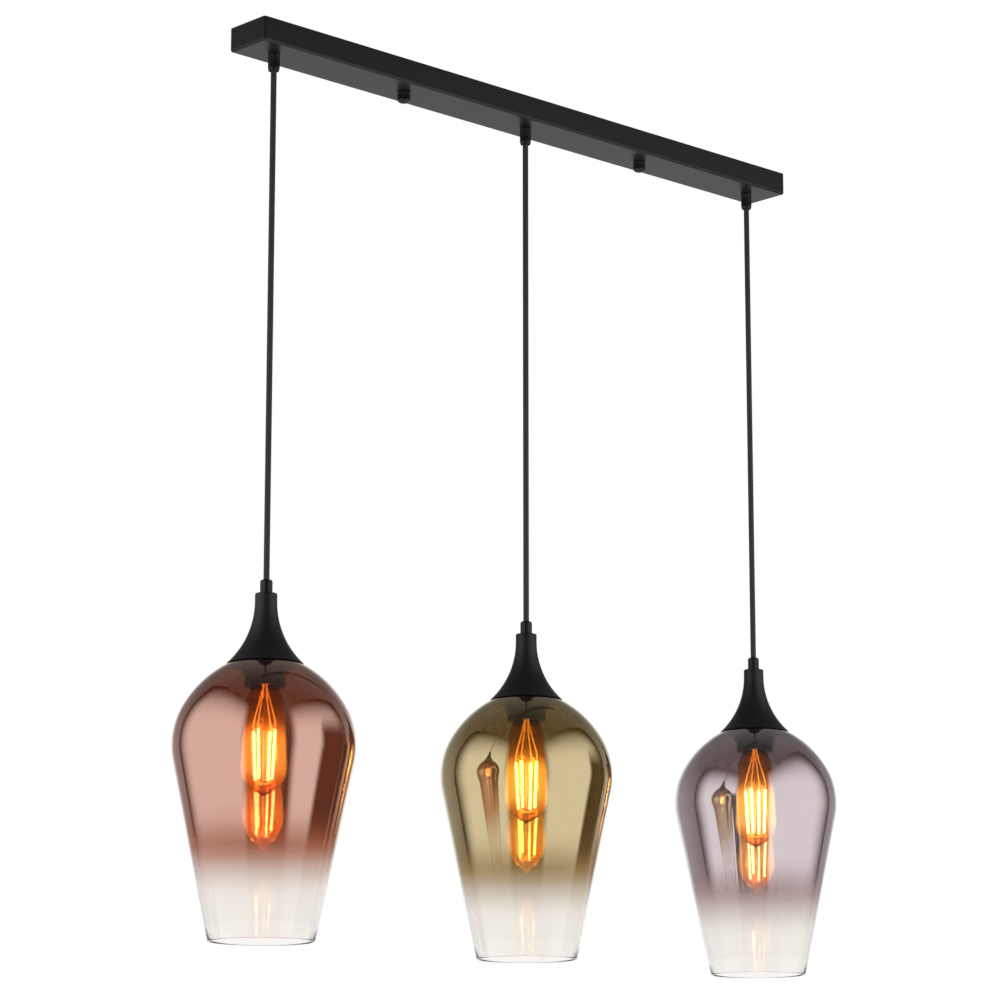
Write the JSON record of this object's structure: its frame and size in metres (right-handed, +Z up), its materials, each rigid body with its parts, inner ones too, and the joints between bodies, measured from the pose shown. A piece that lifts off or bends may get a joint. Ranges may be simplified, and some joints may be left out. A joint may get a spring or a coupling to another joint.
{
  "type": "linear pendant light",
  "caption": "Linear pendant light: a long black ceiling canopy with tulip glass shades on cables, metallised in copper, gold and smoke that fade to clear, each with a filament bulb.",
  "frame": {"origin": "on the ceiling plane, at the middle of the canopy and of its bracket", "axes": "+Z up into the ceiling, +X along the canopy, +Y away from the viewer of the picture"},
  "size_m": [0.878, 0.178, 0.9141],
  "materials": {
    "black_powder_coat": "satin powder coat on sheet steel",
    "black_fittings": "satin black, turned and knurled",
    "zinc_steel": "bright zinc plate",
    "cable_sheath": "matt black round sheath",
    "terminal_plastic": "natural white polyamide",
    "brass": "bare brass",
    "holder_plastic": "black moulded phenolic",
    "copper_glass": "clear glass with a copper metallised coat that fades out towards the mouth",
    "gold_glass": "clear glass with a gold metallised coat that fades out towards the mouth",
    "smoke_glass": "clear glass with a smoke metallised coat that fades out towards the mouth",
    "nickel": "nickel plated brass",
    "amber_glass": "amber tinted clear glass",
    "stem_glass": "clear glass stem with wires",
    "filament": "glowing filament sticks"
  },
  "bodies": {
    "ceiling_fixture": {"canopy": "black_powder_coat", "ceiling_bracket": "zinc_steel", "canopy_studs": "zinc_steel", "stud_nuts": "zinc_steel", "cap_nuts": "black_fittings", "terminal_block": "terminal_plastic", "terminal_screws": "brass", "bracket_screws": "zinc_steel", "canopy_grips": "black_fittings", "grip_nuts": "zinc_steel", "grip_screws": "zinc_steel", "cable_tail_left": "cable_sheath", "cable_tail_middle": "cable_sheath", "cable_tail_right": "cable_sheath"},
    "left_neck": {"cable_neck_left": "cable_sheath"},
    "left_cable": {"cable_left": "cable_sheath"},
    "left_pendant": {"cable_end_left": "cable_sheath", "cover_grip_left": "black_fittings", "cover_grip_screw_left": "zinc_steel", "cover_left": "black_powder_coat", "nipple_left": "zinc_steel", "holder_left": "holder_plastic", "holder_contacts_left": "brass", "shade_ring_left": "holder_plastic", "shade_left": "copper_glass"},
    "left_bulb": {"bulb_cap_left": "nickel", "bulb_glass_left": "amber_glass", "bulb_stem_left": "stem_glass", "bulb_filaments_left": "filament"},
    "middle_neck": {"cable_neck_middle": "cable_sheath"},
    "middle_cable": {"cable_middle": "cable_sheath"},
    "middle_pendant": {"cable_end_middle": "cable_sheath", "cover_grip_middle": "black_fittings", "cover_grip_screw_middle": "zinc_steel", "cover_middle": "black_powder_coat", "nipple_middle": "zinc_steel", "holder_middle": "holder_plastic", "holder_contacts_middle": "brass", "shade_ring_middle": "holder_plastic", "shade_middle": "gold_glass"},
    "middle_bulb": {"bulb_cap_middle": "nickel", "bulb_glass_middle": "amber_glass", "bulb_stem_middle": "stem_glass", "bulb_filaments_middle": "filament"},
    "right_neck": {"cable_neck_right": "cable_sheath"},
    "right_cable": {"cable_right": "cable_sheath"},
    "right_pendant": {"cable_end_right": "cable_sheath", "cover_grip_right": "black_fittings", "cover_grip_screw_right": "zinc_steel", "cover_right": "black_powder_coat", "nipple_right": "zinc_steel", "holder_right": "holder_plastic", "holder_contacts_right": "brass", "shade_ring_right": "holder_plastic", "shade_right": "smoke_glass"},
    "right_bulb": {"bulb_cap_right": "nickel", "bulb_glass_right": "amber_glass", "bulb_stem_right": "stem_glass", "bulb_filaments_right": "filament"}
  },
  "joints": [
    {"name": "left_swing_front", "type": "hinge", "parent": "ceiling_fixture", "child": "left_neck", "pos_m": [-0.35, 0, -0.0403], "axis": [1, 0, 0], "range_deg": [-20, 20]},
    {"name": "left_swing_side", "type": "hinge", "parent": "left_neck", "child": "left_cable", "pos_m": [-0.35, 0, -0.0403], "axis": [0, 1, 0], "range_deg": [-6, 6]},
    {"name": "left_height", "type": "slide", "parent": "left_cable", "child": "left_pendant", "axis": [0, 0, 1], "range_m": [0, 0.3], "deforming": ["cable_left"]},
    {"name": "left_bulb_out", "type": "slide", "parent": "left_pendant", "child": "left_bulb", "axis": [0, 0, -1], "range_m": [0, 0.025]},
    {"name": "middle_swing_front", "type": "hinge", "parent": "ceiling_fixture", "child": "middle_neck", "pos_m": [0, 0, -0.0403], "axis": [1, 0, 0], "range_deg": [-20, 20]},
    {"name": "middle_swing_side", "type": "hinge", "parent": "middle_neck", "child": "middle_cable", "pos_m": [0, 0, -0.0403], "axis": [0, 1, 0], "range_deg": [-6, 6]},
    {"name": "middle_height", "type": "slide", "parent": "middle_cable", "child": "middle_pendant", "axis": [0, 0, 1], "range_m": [0, 0.3], "deforming": ["cable_middle"]},
    {"name": "middle_bulb_out", "type": "slide", "parent": "middle_pendant", "child": "middle_bulb", "axis": [0, 0, -1], "range_m": [0, 0.025]},
    {"name": "right_swing_front", "type": "hinge", "parent": "ceiling_fixture", "child": "right_neck", "pos_m": [0.35, 0, -0.0403], "axis": [1, 0, 0], "range_deg": [-20, 20]},
    {"name": "right_swing_side", "type": "hinge", "parent": "right_neck", "child": "right_cable", "pos_m": [0.35, 0, -0.0403], "axis": [0, 1, 0], "range_deg": [-6, 6]},
    {"name": "right_height", "type": "slide", "parent": "right_cable", "child": "right_pendant", "axis": [0, 0, 1], "range_m": [0, 0.3], "deforming": ["cable_right"]},
    {"name": "right_bulb_out", "type": "slide", "parent": "right_pendant", "child": "right_bulb", "axis": [0, 0, -1], "range_m": [0, 0.025]}
  ]
}
